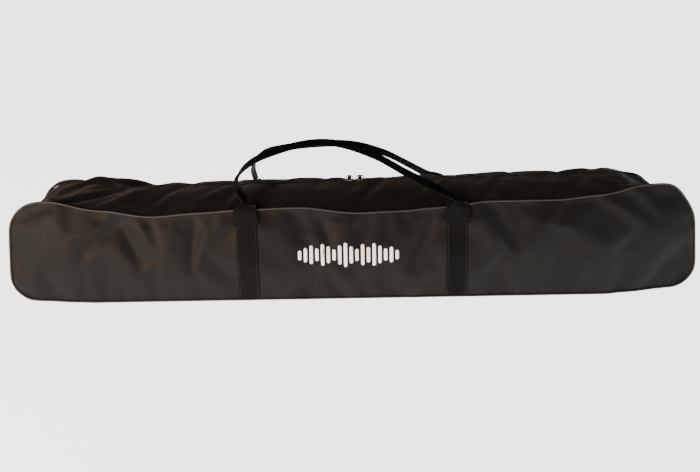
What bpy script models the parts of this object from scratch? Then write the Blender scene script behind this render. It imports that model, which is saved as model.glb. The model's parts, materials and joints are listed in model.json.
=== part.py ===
"""A long padded bag for stands: a box of padded panels with piped edges, a zip along the crest of its
top, and two web handles that meet over the middle. +X is along the bag, -Y is its front and +Z is up."""

import math

import bmesh
import bpy
from mathutils import Matrix, Vector

# Driving dimensions, in metres
LENGTH = 1.27
DEPTH = 0.20
SEAM_HEIGHT = 0.175  # the top seams of the front and the rear panel
CREST_RISE = 0.030  # how far the zip stands above those seams
CREST_FLAT = 0.50  # the crest comes down to the seams from this far either side of the middle
CREST_CLIMB = 0.014  # the bag is fuller to the right: the crest climbs this much in a metre
CORNER = 0.045  # the rounding of the panels, seen from the front
FABRIC = 0.0012
FOAM = 0.005
LINING = 0.0008
GAP = 0.0003
PIPING_RADIUS = 0.0018
STRAP_X = 0.192
WEB_WIDTH = 0.038
WEB_THICK = 0.002
COIL_WIDTH = 0.0032
COIL_HEIGHT = 0.0026
TAPE_WIDTH = 0.012
TAPE_THICK = 0.0006
SLIDER_LENGTH = 0.017
LEFT_SLIDER_X = -0.003
RIGHT_SLIDER_X = 0.017

# Worked out from the driving dimensions
HALF = LENGTH / 2
SIDE = DEPTH / 2
STRAIGHT = HALF - CORNER  # where the level edges end and the corners start
PIPING_CELL = 2 * PIPING_RADIUS + 2 * GAP  # the square room along each edge for its piping
EDGE = SIDE - PIPING_CELL - GAP  # the gusset and the flaps end here, beside the piping
PAD_IN = FABRIC + GAP
LINING_IN = PAD_IN + FOAM + GAP
LINED_SIDE = SIDE - LINING_IN
HINGE_Y = SIDE - PIPING_CELL / 2
HINGE_Z = SEAM_HEIGHT - PIPING_CELL / 2
FLAP_END = STRAIGHT - 0.001
FABRIC_LIP = 0.007  # the flap's fabric stops this far from the middle of the zip
PAD_LIP = 0.017
LAYERS_UNDER = PAD_IN + FOAM + GAP + LINING  # a flap's whole thickness
SLOPE = math.atan2(CREST_RISE, EDGE)
FOOT_Y = SIDE + 0.006  # the handles' feet stand this far out, clear of the piping, and above the seam
FOOT_Z = SEAM_HEIGHT + 0.012


def clear_scene():
    for thing in list(bpy.data.objects):
        bpy.data.objects.remove(thing, do_unlink=True)


def make_material(name, colour, roughness, metallic=0.0):
    material = bpy.data.materials.new(name)
    material.use_nodes = True
    shader = material.node_tree.nodes["Principled BSDF"]
    shader.inputs["Base Color"].default_value = (*colour, 1.0)
    shader.inputs["Roughness"].default_value = roughness
    shader.inputs["Metallic"].default_value = metallic
    return material


def make_object(name, bm, material):
    bmesh.ops.recalc_face_normals(bm, faces=bm.faces)
    mesh = bpy.data.meshes.new(name)
    bm.to_mesh(mesh)
    bm.free()
    mesh.materials.append(material)
    mesh.shade_smooth()
    mesh.set_sharp_from_angle(angle=math.radians(35))
    made = bpy.data.objects.new(name, mesh)
    bpy.context.scene.collection.objects.link(made)
    return made


def extruded(name, outline, y0, y1, material):
    """A closed solid of an outline of (x, z) points, from y0 to y1."""
    bm = bmesh.new()
    face = bm.faces.new([bm.verts.new((x, y0, z)) for x, z in outline])
    grown = bmesh.ops.extrude_face_region(bm, geom=[face])["geom"]
    moved = [item for item in grown if isinstance(item, bmesh.types.BMVert)]
    bmesh.ops.translate(bm, verts=moved, vec=(0, y1 - y0, 0))
    return make_object(name, bm, material)


def block(name, low, high, material):
    corners = [(low[0], low[2]), (high[0], low[2]), (high[0], high[2]), (low[0], high[2])]
    return extruded(name, corners, low[1], high[1], material)


def arc(centre_x, centre_z, radius, start, stop, steps):
    """Points on an arc in the XZ plane, with angles in degrees from +X towards +Z."""
    angles = [math.radians(start + (stop - start) * i / steps) for i in range(steps + 1)]
    return [(centre_x + radius * math.cos(a), centre_z + radius * math.sin(a)) for a in angles]


def panel_outline(inset, top=SEAM_HEIGHT, steps=6):
    """The rounded rectangle of a long panel, its edges moved in by inset, with its top edge at top."""
    radius = CORNER - inset
    high = top - CORNER
    return (
        arc(STRAIGHT, CORNER, radius, -90, 0, steps)
        + arc(STRAIGHT, high, radius, 0, 90, steps)
        + arc(-STRAIGHT, high, radius, 90, 180, steps)
        + arc(-STRAIGHT, CORNER, radius, 180, 270, steps)
    )


def end_outline(side, inset, thick, steps=6):
    """The C-shaped strip round one end: the two corners and the upright between them."""
    outer = arc(STRAIGHT, CORNER, CORNER - inset, -90, 0, steps)
    outer += arc(STRAIGHT, SEAM_HEIGHT - CORNER, CORNER - inset, 0, 90, steps)
    inner = arc(STRAIGHT, SEAM_HEIGHT - CORNER, CORNER - inset - thick, 90, 0, steps)
    inner += arc(STRAIGHT, CORNER, CORNER - inset - thick, 0, -90, steps)
    return [(side * x, z) for x, z in outer + inner]


def rise(x):
    """Height of the zip's crest above the seams: one straight slope, and down to nothing at both ends."""
    t = (FLAP_END - abs(x)) / (FLAP_END - CREST_FLAT)
    t = min(max(t, 0.0), 1.0)
    return (CREST_RISE + CREST_CLIMB * x) * t * t * (3 - 2 * t)


def flap_height(x, y):
    return SEAM_HEIGHT + rise(x) * (EDGE - abs(y)) / EDGE


def flap_stations(down_steps=14, straight_steps=10):
    """Places along a flap: far apart where the crest is straight, and close together where it comes down."""
    down = [CREST_FLAT + (FLAP_END - CREST_FLAT) * i / down_steps for i in range(down_steps + 1)]
    straight = [CREST_FLAT * (2 * i / straight_steps - 1) for i in range(1, straight_steps)]
    return [-x for x in reversed(down)] + straight + down


def flap_strip(name, y_from, y_to, above, below, material, columns=4):
    """A strip of a flap between two distances from the zip, from above to below its outer surface."""
    bm = bmesh.new()
    across = [y_from + (y_to - y_from) * i / columns for i in range(columns + 1)]
    rings = []
    for x in flap_stations():
        top = [bm.verts.new((x, y, flap_height(x, y) + above)) for y in across]
        bottom = [bm.verts.new((x, y, flap_height(x, y) + below)) for y in across]
        rings.append((top, bottom))
    for (top_a, low_a), (top_b, low_b) in zip(rings, rings[1:]):
        for i in range(columns):
            for a, b in ((top_a, top_b), (low_a, low_b)):
                bm.faces.new((a[i], a[i + 1], b[i + 1]))
                bm.faces.new((a[i], b[i + 1], b[i]))
        for i in (0, columns):
            bm.faces.new((top_a[i], low_a[i], low_b[i], top_b[i]))
    for top, bottom in (rings[0], rings[-1]):
        bm.faces.new(top + bottom[::-1])
    return make_object(name, bm, material)


def swept(name, centres, sections, material):
    """A solid through four-cornered sections, each given by two half-width vectors at a centre."""
    bm = bmesh.new()
    rings = []
    for centre, (wide, thick) in zip(centres, sections):
        corners = (wide + thick, -wide + thick, -wide - thick, wide - thick)
        rings.append([bm.verts.new(centre + corner) for corner in corners])
    for a, b in zip(rings, rings[1:]):
        for i in range(4):
            bm.faces.new((a[i], a[(i + 1) % 4], b[(i + 1) % 4], b[i]))
    bm.faces.new(rings[0])
    bm.faces.new(rings[-1])
    return make_object(name, bm, material)


def smooth_route(points, steps):
    """A Catmull-Rom curve through the points, with steps places in each span."""
    ends = [2 * points[0] - points[1], *points, 2 * points[-1] - points[-2]]
    route = []
    for p, q, r, s in zip(ends, ends[1:], ends[2:], ends[3:]):
        for i in range(steps):
            t = i / steps
            bend = (2 * p - 5 * q + 4 * r - s) * t**2 + (3 * q - p - 3 * r + s) * t**3
            route.append((2 * q + (r - p) * t + bend) / 2)
    return route + [points[-1].copy()]


def boolean(target, other, operation):
    change = target.modifiers.new(operation.lower(), "BOOLEAN")
    change.operation = operation
    change.object = other
    other.hide_render = True
    other.display_type = "WIRE"


def make_hinge(name, place, parent=None):
    """An empty on a joint's axis, which its moving pieces hang on."""
    empty = bpy.data.objects.new(name, None)
    empty.empty_display_size = 0.02
    bpy.context.scene.collection.objects.link(empty)
    empty["place"] = place
    empty.location = Vector(place)
    if parent:
        empty.parent = parent
        empty.location = Vector(place) - Vector(parent["place"])
    return empty


def hang(piece, hinge):
    piece.data.transform(Matrix.Translation(-Vector(hinge["place"])))
    piece.parent = hinge


def make_shell():
    """The fixed panels: front and rear, the base, and the strip round each end."""
    extruded("front_panel", panel_outline(PIPING_CELL + GAP), -SIDE, -SIDE + FABRIC, WOVEN)
    extruded("rear_panel", panel_outline(PIPING_CELL + GAP), SIDE - FABRIC, SIDE, WOVEN)
    block("base_panel", (-STRAIGHT + GAP, -EDGE, 0), (STRAIGHT - GAP, EDGE, FABRIC), WOVEN)
    for side, word in ((-1, "left"), (1, "right")):
        extruded(f"{word}_end_panel", end_outline(side, 0, FABRIC), -EDGE, EDGE, WOVEN)


def make_padding():
    """The closed-cell foam sheets behind each fixed panel."""
    outline = panel_outline(PIPING_CELL + GAP, SEAM_HEIGHT - LAYERS_UNDER - 2 * GAP)
    extruded("front_pad", outline, -SIDE + PAD_IN, -SIDE + PAD_IN + FOAM, FOAM_SHEET)
    extruded("rear_pad", outline, SIDE - PAD_IN - FOAM, SIDE - PAD_IN, FOAM_SHEET)
    low, high = PAD_IN, PAD_IN + FOAM
    block("base_pad", (-STRAIGHT + GAP, -LINED_SIDE, low), (STRAIGHT - GAP, LINED_SIDE, high), FOAM_SHEET)
    for side, word in ((-1, "left"), (1, "right")):
        shape = end_outline(side, PAD_IN, FOAM)
        extruded(f"{word}_end_pad", shape, -LINED_SIDE, LINED_SIDE, FOAM_SHEET)


def make_lining():
    """One tray of thin lining cloth, with its mouth under the two flaps."""
    tray = extruded("main_lining", panel_outline(LINING_IN), -LINED_SIDE, LINED_SIDE, LINING_CLOTH)
    room_side = LINED_SIDE - LINING
    room = extruded("lining_room", panel_outline(LINING_IN + LINING), -room_side, room_side, LINING_CLOTH)
    low = SEAM_HEIGHT - LAYERS_UNDER - 2 * GAP
    mouth = block("lining_mouth", (-STRAIGHT, -SIDE, low), (STRAIGHT, SIDE, SEAM_HEIGHT), LINING_CLOTH)
    boolean(tray, room, "DIFFERENCE")
    boolean(tray, mouth, "DIFFERENCE")


def make_piping():
    """A piped cord closed round the edge of the front and of the rear panel."""
    for sign, word in ((-1, "front"), (1, "rear")):
        curve = bpy.data.curves.new(f"{word}_piping", "CURVE")
        curve.dimensions = "3D"
        curve.bevel_depth = PIPING_RADIUS
        curve.bevel_resolution = 1
        curve.use_fill_caps = True
        path = panel_outline(PIPING_CELL / 2)
        spline = curve.splines.new("POLY")
        spline.points.add(len(path) - 1)
        for point, (x, z) in zip(spline.points, path):
            point.co = (x, sign * HINGE_Y, z, 1)
        spline.use_cyclic_u = True
        curve.materials.append(PIPING)
        bpy.context.scene.collection.objects.link(bpy.data.objects.new(f"{word}_piping", curve))


def make_straps():
    """The webbing sewn up the front and the rear panel, from the base seam to just below the top seam."""
    for sign, word in ((-1, "front"), (1, "rear")):
        inner = sign * (SIDE + GAP)
        outer = sign * (SIDE + GAP + WEB_THICK)
        for x, place in ((-STRAP_X, "left"), (STRAP_X, "right")):
            low = (x - WEB_WIDTH / 2, min(inner, outer), PIPING_CELL)
            high = (x + WEB_WIDTH / 2, max(inner, outer), SEAM_HEIGHT - PIPING_CELL)
            block(f"{word}_{place}_strap", low, high, WEBBING)


def make_zip_tabs():
    """A short strip of web over each end of the zip, sewn to the top of the end panel."""
    for side, word in ((-1, "left"), (1, "right")):
        high = SEAM_HEIGHT - CORNER
        outer = arc(STRAIGHT, high, CORNER + GAP + FABRIC, 88, 55, 4)
        inner = arc(STRAIGHT, high, CORNER + GAP, 55, 88, 4)
        outline = [(side * x, z) for x, z in outer + inner]
        extruded(f"{word}_zip_tab", outline, -TAPE_WIDTH, TAPE_WIDTH, WEBBING)


def make_flap(sign, word):
    """Half of the top, from one long seam to the zip: fabric, foam, lining, zip tape and coil."""
    hinge = make_hinge(f"{word}_flap_hinge", (0, sign * HINGE_Y, HINGE_Z))
    seam = sign * EDGE
    lined = sign * LINED_SIDE
    lip = sign * PAD_LIP
    under_fabric = -PAD_IN
    under_foam = -PAD_IN - FOAM
    coil_from = sign * (COIL_WIDTH + GAP)
    tape = -PAD_IN
    coil_low = tape - TAPE_THICK / 2 - COIL_HEIGHT / 2
    pieces = (
        flap_strip(f"{word}_top_panel", seam, sign * FABRIC_LIP, 0, -FABRIC, WOVEN),
        flap_strip(f"{word}_top_pad", lined, lip, under_fabric, under_foam, FOAM_SHEET),
        flap_strip(f"{word}_top_lining", lined, lip, under_foam - GAP, -LAYERS_UNDER, LINING_CLOTH),
        flap_strip(
            f"{word}_zip_tape", lip - sign * GAP, coil_from + sign * GAP, tape, tape - TAPE_THICK, TAPE
        ),
        flap_strip(f"{word}_zip_coil", coil_from, sign * GAP, coil_low + COIL_HEIGHT, coil_low, COIL),
    )
    for piece in pieces:
        hang(piece, hinge)
    return hinge


def web_sections(route):
    """Half-width and half-thickness vectors along a handle. The web leaves each foot flat against its panel,
    then turns a quarter, so that its width lies across the hand."""
    flat_until, turned_from = 0.018, 0.075
    lengths = [0.0]
    for a, b in zip(route, route[1:]):
        lengths.append(lengths[-1] + (b - a).length)
    sections = []
    for i, place in enumerate(route):
        ahead = route[min(i + 1, len(route) - 1)]
        behind = route[max(i - 1, 0)]
        along = (ahead - behind).normalized()
        from_foot = min(lengths[i], lengths[-1] - lengths[i])
        t = min(max((from_foot - flat_until) / (turned_from - flat_until), 0.0), 1.0)
        turn = t * t * (3 - 2 * t) * math.pi / 2
        flat = Vector((1, 0, 0))
        flat = (flat - along * flat.dot(along)).normalized()
        across = Vector((0, 1, 0))
        across = (across - along * across.dot(along)).normalized()
        wide = (flat * math.cos(turn) + across * math.sin(turn)).normalized()
        sections.append((wide * WEB_WIDTH / 2, along.cross(wide) * WEB_THICK / 2))
    return sections


def make_handles(front_flap, rear_flap):
    """Two web loops that lean in from the front and the rear seam, and meet over the zip."""
    routes = {
        "front_handle": (
            (-STRAP_X, -FOOT_Y, FOOT_Z),
            (-0.203, -0.100, 0.214),
            (-0.203, -0.084, 0.240),
            (-0.172, -0.056, 0.267),
            (-0.096, -0.027, 0.286),
            (-0.030, -0.021, 0.288),
            (0.056, -0.030, 0.268),
            (0.120, -0.058, 0.243),
            (0.172, -0.090, 0.217),
            (STRAP_X, -FOOT_Y, FOOT_Z),
        ),
        "rear_handle": (
            (-STRAP_X, FOOT_Y, FOOT_Z),
            (-0.196, 0.098, 0.212),
            (-0.186, 0.076, 0.238),
            (-0.150, 0.046, 0.262),
            (-0.075, 0.026, 0.276),
            (0.000, 0.022, 0.279),
            (0.075, 0.028, 0.269),
            (0.140, 0.052, 0.246),
            (0.180, 0.084, 0.217),
            (STRAP_X, FOOT_Y, FOOT_Z),
        ),
    }
    for name, sign, flap in (("front_handle", -1, front_flap), ("rear_handle", 1, rear_flap)):
        hinge = make_hinge(f"{name}_hinge", (0, sign * FOOT_Y, FOOT_Z), flap)
        route = smooth_route([Vector(point) for point in routes[name]], 6)
        hang(swept(name, route, web_sections(route), WEBBING), hinge)


def crown_outline(x, low, half_foot, half_top, height):
    """The side view of a slider's crown: upright sides that slope in to a bar across the top."""
    shoulder = 0.6 * height
    return [
        (x - half_foot, low),
        (x + half_foot, low),
        (x + half_foot, low + shoulder),
        (x + half_top, low + height),
        (x - half_top, low + height),
        (x - half_foot, low + shoulder),
    ]


def make_slider(word, x, rear_flap):
    """A zip slider riding on the rear half of the coil, with its crown, and the pull on the crown's bar."""
    plate_thick = 0.0014
    plate_low = flap_height(x, 0) - PAD_IN - TAPE_THICK / 2 + COIL_HEIGHT / 2 + GAP
    plate_inner, plate_outer = 0.0006, 0.0052
    crown_outer = 0.0032
    crown_height, bar_thick, leg_thick = 0.0072, 0.0018, 0.0018
    root = 0.0005  # the crown starts inside the plate, which it is cast with
    top = plate_low + plate_thick
    slide = make_hinge(f"{word}_slider_place", (x, 0, top), rear_flap)
    low_corner = (x - SLIDER_LENGTH / 2, plate_inner, plate_low)
    high_corner = (x + SLIDER_LENGTH / 2, plate_outer, top)
    slider = block(f"{word}_slider", low_corner, high_corner, DIE_CAST)
    foot, bar = 0.0065, 0.0044
    outline = crown_outline(x, top - root, foot, bar, crown_height + root)
    bow = extruded(f"{word}_crown", outline, plate_inner, crown_outer, DIE_CAST)
    outline = crown_outline(x, top, foot - leg_thick, bar - leg_thick / 2, crown_height - bar_thick)
    hole = extruded(f"{word}_crown_hole", outline, -plate_outer, 2 * plate_outer, DIE_CAST)
    boolean(slider, bow, "UNION")
    boolean(slider, hole, "DIFFERENCE")
    axis = (x, (plate_inner + crown_outer) / 2, top + crown_height - bar_thick / 2)
    hinge = make_hinge(f"{word}_pull_hinge", axis, slide)
    for piece in (slider, bow, hole):
        hang(piece, slide)
    make_pull(word, axis, hinge)


def make_pull(word, axis, hinge):
    """A flat tab with an eye round the crown's bar, leaning over the rear flap."""
    eye_inner, eye_outer, eye_half = 0.0021, 0.0034, 0.0014
    tab_half, tab_thick, tab_length = 0.0035, 0.0016, 0.030
    clear_of_flap = math.radians(4)
    steps = 16
    bm = bmesh.new()
    rings = []
    for i in range(steps):
        angle = 2 * math.pi * i / steps
        corners = (
            (eye_outer, -eye_half),
            (eye_outer, eye_half),
            (eye_inner, eye_half),
            (eye_inner, -eye_half),
        )
        rings.append([bm.verts.new((dx, r * math.cos(angle), r * math.sin(angle))) for r, dx in corners])
    for a, b in zip(rings, rings[1:] + rings[:1]):
        for i in range(4):
            bm.faces.new((a[i], a[(i + 1) % 4], b[(i + 1) % 4], b[i]))
    pull = make_object(f"{word}_pull", bm, DIE_CAST)
    start = (eye_inner + eye_outer) / 2
    low = (-tab_half, start, -tab_thick / 2)
    high = (tab_half, start + tab_length, tab_thick / 2)
    tab = block(f"{word}_tab", low, high, DIE_CAST)
    drop = SLOPE + clear_of_flap
    lie = Matrix.Translation(Vector(axis)) @ Matrix.Rotation(-drop, 4, "X")
    for piece in (pull, tab):
        piece.data.transform(lie)
        hang(piece, hinge)
    boolean(pull, tab, "UNION")


clear_scene()
WOVEN = make_material("woven_polyester", (0.030, 0.027, 0.025), 0.55)
FOAM_SHEET = make_material("foam_sheet", (0.10, 0.10, 0.11), 0.9)
LINING_CLOTH = make_material("lining_cloth", (0.045, 0.045, 0.05), 0.6)
PIPING = make_material("piping", (0.040, 0.038, 0.036), 0.45)
WEBBING = make_material("webbing", (0.015, 0.014, 0.013), 0.7)
TAPE = make_material("zip_tape", (0.015, 0.015, 0.015), 0.8)
COIL = make_material("zip_coil", (0.012, 0.012, 0.012), 0.4)
DIE_CAST = make_material("die_cast_zinc", (0.30, 0.30, 0.31), 0.3, 1.0)
make_shell()
make_padding()
make_lining()
make_piping()
make_straps()
make_zip_tabs()
front_hinge = make_flap(-1, "front")
rear_hinge = make_flap(1, "rear")
make_handles(front_hinge, rear_hinge)
make_slider("left", LEFT_SLIDER_X, rear_hinge)
make_slider("right", RIGHT_SLIDER_X, rear_hinge)
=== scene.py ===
"""A long padded bag for stands, standing on a pale floor: creased coated cloth with piped seams, webbing
straps and handles, and a heavy zip along the crest of its top."""

import json
import math

import bmesh
import bpy
import numpy as np
from mathutils import Matrix, Vector
from mathutils.bvhtree import BVHTree

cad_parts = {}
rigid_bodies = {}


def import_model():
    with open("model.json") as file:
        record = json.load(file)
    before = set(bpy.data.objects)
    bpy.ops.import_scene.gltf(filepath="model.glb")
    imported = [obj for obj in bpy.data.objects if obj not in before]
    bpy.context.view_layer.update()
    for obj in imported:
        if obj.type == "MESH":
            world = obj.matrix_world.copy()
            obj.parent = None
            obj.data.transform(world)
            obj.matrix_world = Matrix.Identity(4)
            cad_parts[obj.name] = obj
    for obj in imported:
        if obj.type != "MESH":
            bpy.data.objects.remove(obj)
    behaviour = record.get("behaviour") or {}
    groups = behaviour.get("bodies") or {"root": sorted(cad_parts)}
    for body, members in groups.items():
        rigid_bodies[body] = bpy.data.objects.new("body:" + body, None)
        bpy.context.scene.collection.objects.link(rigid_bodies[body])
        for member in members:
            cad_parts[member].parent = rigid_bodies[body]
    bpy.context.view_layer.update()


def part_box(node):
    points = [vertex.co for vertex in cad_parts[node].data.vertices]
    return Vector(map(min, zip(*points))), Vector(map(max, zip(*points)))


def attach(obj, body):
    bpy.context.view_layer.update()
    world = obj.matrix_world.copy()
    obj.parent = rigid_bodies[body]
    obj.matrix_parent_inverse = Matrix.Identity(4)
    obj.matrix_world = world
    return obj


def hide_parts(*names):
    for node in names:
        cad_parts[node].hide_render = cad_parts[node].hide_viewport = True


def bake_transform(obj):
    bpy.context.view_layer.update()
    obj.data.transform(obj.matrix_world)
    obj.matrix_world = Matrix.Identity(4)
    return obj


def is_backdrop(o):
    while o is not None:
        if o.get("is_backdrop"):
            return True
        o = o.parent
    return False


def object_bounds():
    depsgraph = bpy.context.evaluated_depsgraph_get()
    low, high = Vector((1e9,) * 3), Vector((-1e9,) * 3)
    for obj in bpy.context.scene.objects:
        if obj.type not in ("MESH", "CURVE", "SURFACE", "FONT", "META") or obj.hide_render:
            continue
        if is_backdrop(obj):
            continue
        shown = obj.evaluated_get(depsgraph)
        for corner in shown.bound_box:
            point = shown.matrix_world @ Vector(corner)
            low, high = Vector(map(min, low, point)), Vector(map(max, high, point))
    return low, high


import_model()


# ---------------------------------------------------------------------------------------------------------
# The studio: a lit white table and the white paper behind it, dim walls that give a little more light
# overhead, a warm soft box at the left, a weak cool one at the right, and a camera in front of the bag and a
# little above it.

WHITE_ACRYLIC = "#fbfbfa"
TABLE_GLOW = 3.1
WALL_LOW, WALL_HIGH = 0.079, 0.116  # how much light the walls give at the table's level and overhead
WALL_SEEN = 3.6  # how bright the white paper looks that hangs behind the bag, lit by itself


def linear(hex_colour):
    """An sRGB hex colour as linear red, green, blue and alpha."""
    parts = [int(hex_colour[i : i + 2], 16) / 255 for i in (1, 3, 5)]
    return [c / 12.92 if c <= 0.04045 else ((c + 0.055) / 1.055) ** 2.4 for c in parts] + [1.0]


def new_material(name, colour, roughness, metallic=0.0, **more):
    """A material with its shader's plain settings, and its node tree."""
    material = bpy.data.materials.new(name)
    material.use_nodes = True
    shader = material.node_tree.nodes["Principled BSDF"]
    shader.inputs["Base Color"].default_value = linear(colour)
    shader.inputs["Roughness"].default_value = roughness
    shader.inputs["Metallic"].default_value = metallic
    for socket, value in more.items():
        shader.inputs[socket.replace("_", " ")].default_value = value
    return material, shader


def add_node(material, kind, settings=None, inputs=None, links=None):
    """One node of a material, with its settings, its inputs' values and the sockets that feed it."""
    node = material.node_tree.nodes.new(kind)
    for name, value in (settings or {}).items():
        setattr(node, name, value)
    for name, value in (inputs or {}).items():
        node.inputs[name].default_value = value
    for name, source in (links or {}).items():
        material.node_tree.links.new(source, node.inputs[name])
    return node


def deselect():
    if bpy.context.mode != "OBJECT":
        bpy.ops.object.mode_set(mode="OBJECT")
    bpy.ops.object.select_all(action="DESELECT")


for start_object in [o for o in bpy.data.objects if o.name in ("Cube", "Light", "Camera")]:
    bpy.data.objects.remove(start_object)

deselect()
bpy.ops.mesh.primitive_plane_add(size=400, location=(0, 0, 0))
floor = bpy.context.object
floor.name = "floor"
table_top, table_shader = new_material("opal_acrylic", WHITE_ACRYLIC, 0.9, Emission_Strength=TABLE_GLOW)
table_shader.inputs["Emission Color"].default_value = linear(WHITE_ACRYLIC)
floor.data.materials.append(table_top)
floor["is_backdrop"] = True

world = bpy.data.worlds.new("studio_walls")
world.use_nodes = True
walls = world.node_tree.nodes["Background"]
walls.inputs["Color"].default_value = linear(WHITE_ACRYLIC)
direction = add_node(world, "ShaderNodeTexCoord").outputs["Generated"]
height = add_node(world, "ShaderNodeSeparateXYZ", links={"Vector": direction}).outputs["Z"]
fall = add_node(
    world,
    "ShaderNodeMapRange",
    inputs={"From Min": 0.02, "From Max": 0.30, "To Min": WALL_LOW, "To Max": WALL_HIGH},
    links={"Value": height},
)
seen = add_node(world, "ShaderNodeLightPath").outputs["Is Camera Ray"]
paper = add_node(
    world, "ShaderNodeMix", inputs={"B": WALL_SEEN}, links={"Factor": seen, "A": fall.outputs["Result"]}
)
world.node_tree.links.new(paper.outputs["Result"], walls.inputs["Strength"])
bpy.context.scene.world = world


def soft_box(name, place, aim, size, power, colour):
    lamp = bpy.data.lights.new(name, "AREA")
    lamp.shape = "RECTANGLE"
    lamp.size, lamp.size_y = size
    lamp.energy = power
    lamp.color = linear(colour)[:3]
    made = bpy.data.objects.new(name, lamp)
    made.location = place
    made.rotation_euler = (Vector(aim) - Vector(place)).to_track_quat("-Z", "Y").to_euler()
    bpy.context.scene.collection.objects.link(made)


soft_box("left_box", (-1.25, -1.50, 0.42), (-0.45, 0, 0.10), (0.7, 0.4), 52, "#ffdcb8")
soft_box("right_box", (1.50, -1.00, 0.95), (0.55, 0, 0.15), (0.5, 0.4), 4, "#eef3ff")

CAMERA_PLACE = Vector((-0.004, -1.75, 0.56))
CAMERA_AIM = Vector((-0.004, 0.0, 0.094))
CAMERA_ROLL = math.radians(-1.0)
CAMERA_LENS = 47.9

camera_data = bpy.data.cameras.new("camera")
camera_data.lens = CAMERA_LENS
camera_data.sensor_width = 36.0
camera = bpy.data.objects.new("camera", camera_data)
camera.location = CAMERA_PLACE
look = (CAMERA_AIM - CAMERA_PLACE).to_track_quat("-Z", "Y").to_matrix().to_4x4()
camera.rotation_euler = (look @ Matrix.Rotation(CAMERA_ROLL, 4, "Z")).to_euler()
bpy.context.scene.collection.objects.link(camera)
bpy.context.scene.camera = camera


# ---------------------------------------------------------------------------------------------------------
# The sewn shell: one closed skin of coated cloth over foam, cut from the box of the bag and then simulated,
# so that every panel, seam and layer that is made from it below creases and sags as one.

END_LOW, END_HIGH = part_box("right_end_panel")
FLAP_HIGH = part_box("front_top_panel")[1]
HALF_LENGTH = END_HIGH.x
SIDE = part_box("rear_panel")[1].y
SEAM_HEIGHT = END_HIGH.z
FLAP_END = FLAP_HIGH.x
CREST_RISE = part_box("left_slider")[0].z - SEAM_HEIGHT  # the sliders' plates lie on the level part
CORNER = HALF_LENGTH - END_LOW.x
LIP = -FLAP_HIGH.y  # where the top's cloth stops beside the zip
CLOTH_CELL = 0.009  # the spacing of the cloth's grid
CLOTH_FRAMES = 20
CLOTH_EXCESS = 0.02  # how much larger the cloth is cut than the shape it covers
FILL_PRESSURE = 0.25
BENDING = 1.0
LIP_HOLD = 0.6  # the zip stiffens the cloth beside it
FOAM_HOLD = 0.05  # the foam behind each panel keeps it near its shape
SEAM_HOLD = 0.95  # the piped seams are stiff, and move little
MOST_MOVE = 0.014
SEAM_SHAPE = (  # where the front seam stands above or below its nominal height, along the bag
    (-0.64, 0.012), (-0.57, 0.019), (-0.47, 0.000), (-0.375, -0.013), (-0.28, -0.007), (-0.21, -0.003),
    (-0.10, 0.000), (0.01, -0.012), (0.08, -0.010), (0.17, -0.004), (0.26, 0.006), (0.38, 0.006),
    (0.47, 0.014), (0.54, 0.031), (0.585, 0.033), (0.64, 0.006),
)
REAR_SEAM_DROP = ((0.50, 0.000), (0.58, -0.020), (0.64, -0.028))  # at its right end
BASE_SHAPE = (  # the full ends ride up off the floor
    (-0.64, 0.012), (-0.58, 0.008), (-0.51, 0.004), (-0.44, 0.000), (0.44, 0.000), (0.51, 0.006),
    (0.58, 0.013), (0.64, 0.018),
)
TOP_NARROWER = 0.021  # the ends lean in, so that the top is shorter than the base by this share
CREST_CLIMB = 0.014  # in each metre to the right, where the bag is fuller
RISE_PAST = 0.020  # the crest starts to rise this far beyond the zip's end
RISE_OVER = 0.110  # and reaches its full height over this length
TOP_ROUND = 0.85  # below 1 the top is fuller towards the seams
PANEL_SWELL = 0.004  # how far the front and the rear panel stand out at half their height
FOLD_PAST = 0.3  # a fold fades out over this share of its length beyond each end
FRONT_FOLDS = (  # lines across the front panel, in metres along it and up it
    ((-0.42, 0.175), (-0.49, 0.105), 0.012, -0.006),
    ((-0.445, 0.160), (-0.50, 0.130), 0.010, 0.004),
    ((-0.43, 0.155), (-0.395, 0.085), 0.012, -0.005),
    ((-0.40, 0.165), (-0.37, 0.110), 0.012, 0.005),
    ((-0.293, 0.160), (-0.297, 0.082), 0.006, -0.004),
    ((-0.275, 0.150), (-0.280, 0.090), 0.008, 0.003),
    ((-0.053, 0.150), (-0.040, 0.095), 0.009, -0.005),
    ((-0.085, 0.175), (-0.075, 0.120), 0.010, 0.003),
    ((-0.045, 0.060), (-0.034, 0.010), 0.008, -0.004),
    ((-0.015, 0.060), (-0.004, 0.012), 0.009, 0.004),
    ((0.012, 0.058), (0.020, 0.014), 0.008, -0.004),
    ((0.155, 0.170), (0.120, 0.100), 0.014, -0.004),
    ((0.235, 0.165), (0.262, 0.090), 0.012, 0.005),
    ((0.262, 0.172), (0.290, 0.110), 0.010, -0.005),
    ((0.405, 0.180), (0.385, 0.140), 0.008, -0.004),
    ((0.475, 0.175), (0.522, 0.125), 0.010, 0.005),
    ((0.500, 0.175), (0.545, 0.130), 0.010, -0.003),
    ((0.565, 0.150), (0.600, 0.160), 0.010, -0.004),
)
REAR_FOLDS = (
    ((-0.50, 0.170), (-0.43, 0.080), 0.013, -0.006),
    ((-0.45, 0.175), (-0.39, 0.100), 0.012, 0.005),
    ((-0.10, 0.165), (-0.13, 0.085), 0.010, -0.004),
    ((0.05, 0.160), (0.08, 0.070), 0.012, 0.005),
    ((0.30, 0.170), (0.25, 0.090), 0.012, -0.005),
    ((0.52, 0.170), (0.46, 0.095), 0.012, -0.006),
)
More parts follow.
